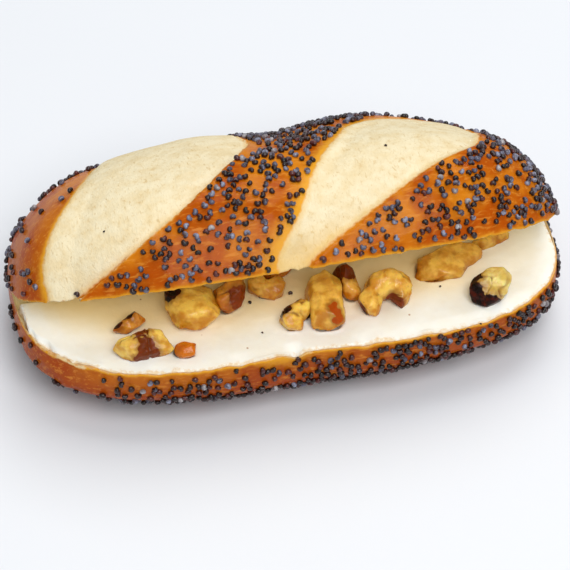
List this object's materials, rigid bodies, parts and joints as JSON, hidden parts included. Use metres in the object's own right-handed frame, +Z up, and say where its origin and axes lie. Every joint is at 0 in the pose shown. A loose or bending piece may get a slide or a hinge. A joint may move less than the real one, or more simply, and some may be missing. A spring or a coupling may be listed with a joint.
{
  "type": "filled bread roll",
  "caption": "Long poppy-seed roll with pale slashes across the top, cut open from the front and filled with white spread and walnut pieces.",
  "frame": {"origin": "middle of the flat base, under the middle of the bounding box", "axes": "+X along the roll, +Y away from the open side, towards the uncut back, +Z up"},
  "size_m": [0.1114, 0.063, 0.0442],
  "materials": {
    "crust": "glossy glazed brown crust with pale matte crumb in the slashes and on the cut faces",
    "spread": "soft satin white spread",
    "walnut": "satin yellow-gold kernel with dark brown skin",
    "poppy_seed": "matte blue-grey to black seeds"
  },
  "bodies": {
    "root": {"roll": "crust", "spread": "spread", "walnut_split": "walnut", "walnut_chip_left": "walnut", "walnut_amber": "walnut", "walnut_block": "walnut", "walnut_brown": "walnut", "walnut_bent": "walnut", "walnut_under_rim": "walnut", "walnut_corner": "walnut", "walnut_tall": "walnut", "walnut_dark_top": "walnut", "walnut_arch": "walnut", "walnut_flat": "walnut", "walnut_back_right": "walnut", "walnut_half_dark": "walnut"}
  },
  "joints": []
}
